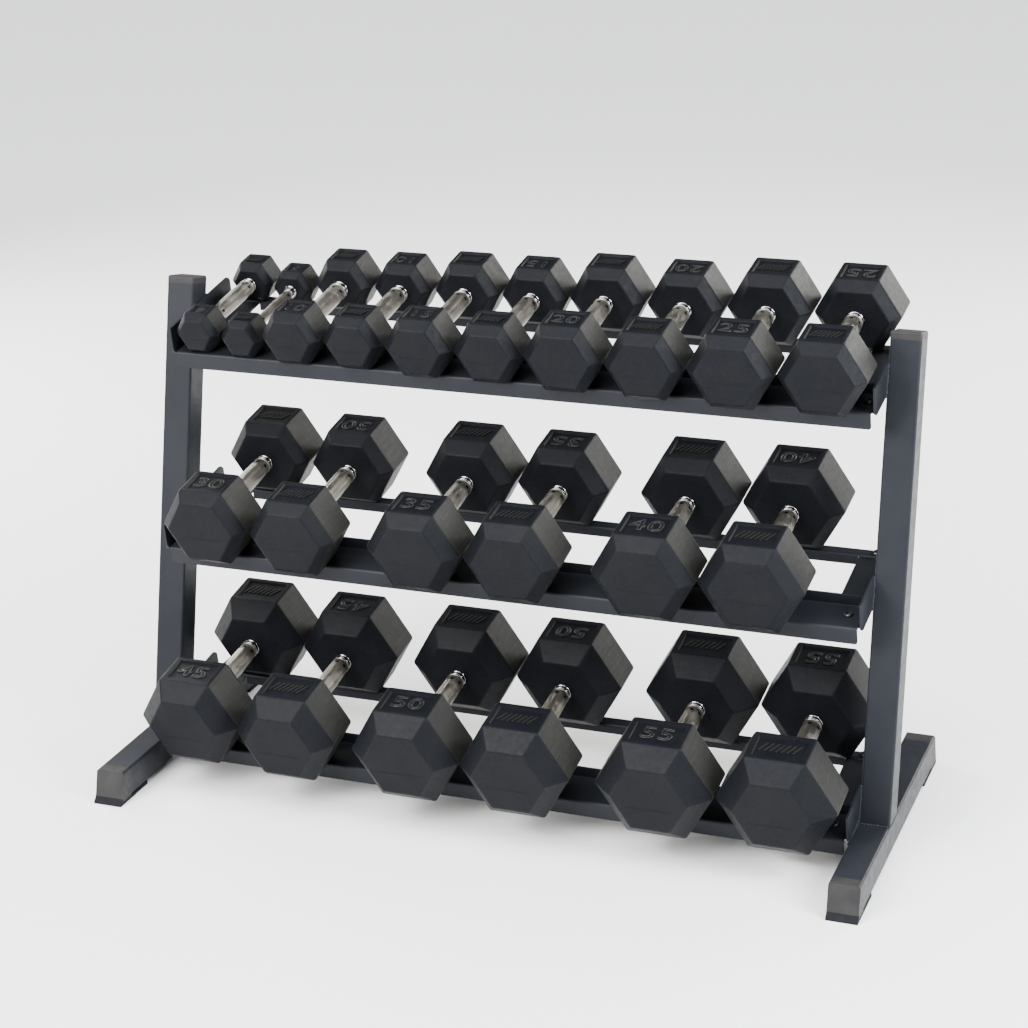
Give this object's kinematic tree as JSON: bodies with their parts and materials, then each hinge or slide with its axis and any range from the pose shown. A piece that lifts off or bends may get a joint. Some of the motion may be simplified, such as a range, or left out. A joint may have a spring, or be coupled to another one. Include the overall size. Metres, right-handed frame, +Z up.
{
  "type": "dumbbell rack",
  "caption": "Tiered sheet-metal rack on leaning square uprights, loaded with rubber hex-head dumbbells that lift off the tilted trays.",
  "frame": {"origin": "on the floor below the middle of the rack, at the centre of its footprint", "axes": "+X along the rails to the right, -Y the side that the user stands at, +Z up"},
  "size_m": [1.16, 0.5141, 0.7826],
  "materials": {
    "slate_powder_coat": "fine matt slate powder coat",
    "dark_plastic": "satin moulded plastic",
    "pad_rubber": "matt",
    "head_rubber": "fine-grained moulded rubber",
    "handle_chrome": "polished, with iron cores hidden inside the heads",
    "black_hardware": "black-oxide steel"
  },
  "bodies": {
    "rack": {"left_foot_tube": "slate_powder_coat", "right_foot_tube": "slate_powder_coat", "left_upright": "slate_powder_coat", "right_upright": "slate_powder_coat", "foot_end_caps": "dark_plastic", "foot_pads": "pad_rubber", "upright_top_caps": "dark_plastic", "rail_brackets": "slate_powder_coat", "top_front_rail": "slate_powder_coat", "middle_front_rail": "slate_powder_coat", "bottom_front_rail": "slate_powder_coat", "top_rear_rail": "slate_powder_coat", "middle_rear_rail": "slate_powder_coat", "bottom_rear_rail": "slate_powder_coat", "rail_bolts": "black_hardware", "rail_nuts": "black_hardware"},
    "dumbbell_8lb": {"heads_8lb": "head_rubber", "handle_8lb": "handle_chrome"},
    "dumbbell_5lb": {"heads_5lb": "head_rubber", "handle_5lb": "handle_chrome"},
    "dumbbell_10lb_a": {"heads_10lb_a": "head_rubber", "handle_10lb_a": "handle_chrome"},
    "dumbbell_10lb_b": {"heads_10lb_b": "head_rubber", "handle_10lb_b": "handle_chrome"},
    "dumbbell_15lb_a": {"heads_15lb_a": "head_rubber", "handle_15lb_a": "handle_chrome"},
    "dumbbell_15lb_b": {"heads_15lb_b": "head_rubber", "handle_15lb_b": "handle_chrome"},
    "dumbbell_20lb_a": {"heads_20lb_a": "head_rubber", "handle_20lb_a": "handle_chrome"},
    "dumbbell_20lb_b": {"heads_20lb_b": "head_rubber", "handle_20lb_b": "handle_chrome"},
    "dumbbell_25lb_a": {"heads_25lb_a": "head_rubber", "handle_25lb_a": "handle_chrome"},
    "dumbbell_25lb_b": {"heads_25lb_b": "head_rubber", "handle_25lb_b": "handle_chrome"},
    "dumbbell_30lb_a": {"heads_30lb_a": "head_rubber", "handle_30lb_a": "handle_chrome"},
    "dumbbell_30lb_b": {"heads_30lb_b": "head_rubber", "handle_30lb_b": "handle_chrome"},
    "dumbbell_35lb_a": {"heads_35lb_a": "head_rubber", "handle_35lb_a": "handle_chrome"},
    "dumbbell_35lb_b": {"heads_35lb_b": "head_rubber", "handle_35lb_b": "handle_chrome"},
    "dumbbell_40lb_a": {"heads_40lb_a": "head_rubber", "handle_40lb_a": "handle_chrome"},
    "dumbbell_40lb_b": {"heads_40lb_b": "head_rubber", "handle_40lb_b": "handle_chrome"},
    "dumbbell_45lb_a": {"heads_45lb_a": "head_rubber", "handle_45lb_a": "handle_chrome"},
    "dumbbell_45lb_b": {"heads_45lb_b": "head_rubber", "handle_45lb_b": "handle_chrome"},
    "dumbbell_50lb_a": {"heads_50lb_a": "head_rubber", "handle_50lb_a": "handle_chrome"},
    "dumbbell_50lb_b": {"heads_50lb_b": "head_rubber", "handle_50lb_b": "handle_chrome"},
    "dumbbell_55lb_a": {"heads_55lb_a": "head_rubber", "handle_55lb_a": "handle_chrome"},
    "dumbbell_55lb_b": {"heads_55lb_b": "head_rubber", "handle_55lb_b": "handle_chrome"}
  },
  "joints": [
    {"name": "lift_8lb", "type": "slide", "parent": "rack", "child": "dumbbell_8lb", "axis": [0, -0.9659, 0.2588], "range_m": [0, 0.42]},
    {"name": "lift_5lb", "type": "slide", "parent": "rack", "child": "dumbbell_5lb", "axis": [0, -0.9659, 0.2588], "range_m": [0, 0.42]},
    {"name": "lift_10lb_a", "type": "slide", "parent": "rack", "child": "dumbbell_10lb_a", "axis": [0, -0.9659, 0.2588], "range_m": [0, 0.42]},
    {"name": "lift_10lb_b", "type": "slide", "parent": "rack", "child": "dumbbell_10lb_b", "axis": [0, -0.9659, 0.2588], "range_m": [0, 0.42]},
    {"name": "lift_15lb_a", "type": "slide", "parent": "rack", "child": "dumbbell_15lb_a", "axis": [0, -0.9659, 0.2588], "range_m": [0, 0.42]},
    {"name": "lift_15lb_b", "type": "slide", "parent": "rack", "child": "dumbbell_15lb_b", "axis": [0, -0.9659, 0.2588], "range_m": [0, 0.42]},
    {"name": "lift_20lb_a", "type": "slide", "parent": "rack", "child": "dumbbell_20lb_a", "axis": [0, -0.9659, 0.2588], "range_m": [0, 0.42]},
    {"name": "lift_20lb_b", "type": "slide", "parent": "rack", "child": "dumbbell_20lb_b", "axis": [0, -0.9659, 0.2588], "range_m": [0, 0.42]},
    {"name": "lift_25lb_a", "type": "slide", "parent": "rack", "child": "dumbbell_25lb_a", "axis": [0, -0.9659, 0.2588], "range_m": [0, 0.42]},
    {"name": "lift_25lb_b", "type": "slide", "parent": "rack", "child": "dumbbell_25lb_b", "axis": [0, -0.9659, 0.2588], "range_m": [0, 0.42]},
    {"name": "lift_30lb_a", "type": "slide", "parent": "rack", "child": "dumbbell_30lb_a", "axis": [0, -0.9659, 0.2588], "range_m": [0, 0.42]},
    {"name": "lift_30lb_b", "type": "slide", "parent": "rack", "child": "dumbbell_30lb_b", "axis": [0, -0.9659, 0.2588], "range_m": [0, 0.42]},
    {"name": "lift_35lb_a", "type": "slide", "parent": "rack", "child": "dumbbell_35lb_a", "axis": [0, -0.9659, 0.2588], "range_m": [0, 0.42]},
    {"name": "lift_35lb_b", "type": "slide", "parent": "rack", "child": "dumbbell_35lb_b", "axis": [0, -0.9659, 0.2588], "range_m": [0, 0.42]},
    {"name": "lift_40lb_a", "type": "slide", "parent": "rack", "child": "dumbbell_40lb_a", "axis": [0, -0.9659, 0.2588], "range_m": [0, 0.42]},
    {"name": "lift_40lb_b", "type": "slide", "parent": "rack", "child": "dumbbell_40lb_b", "axis": [0, -0.9659, 0.2588], "range_m": [0, 0.42]},
    {"name": "lift_45lb_a", "type": "slide", "parent": "rack", "child": "dumbbell_45lb_a", "axis": [0, -0.9659, 0.2588], "range_m": [0, 0.42]},
    {"name": "lift_45lb_b", "type": "slide", "parent": "rack", "child": "dumbbell_45lb_b", "axis": [0, -0.9659, 0.2588], "range_m": [0, 0.42]},
    {"name": "lift_50lb_a", "type": "slide", "parent": "rack", "child": "dumbbell_50lb_a", "axis": [0, -0.9659, 0.2588], "range_m": [0, 0.42]},
    {"name": "lift_50lb_b", "type": "slide", "parent": "rack", "child": "dumbbell_50lb_b", "axis": [0, -0.9659, 0.2588], "range_m": [0, 0.42]},
    {"name": "lift_55lb_a", "type": "slide", "parent": "rack", "child": "dumbbell_55lb_a", "axis": [0, -0.9659, 0.2588], "range_m": [0, 0.42]},
    {"name": "lift_55lb_b", "type": "slide", "parent": "rack", "child": "dumbbell_55lb_b", "axis": [0, -0.9659, 0.2588], "range_m": [0, 0.42]}
  ]
}
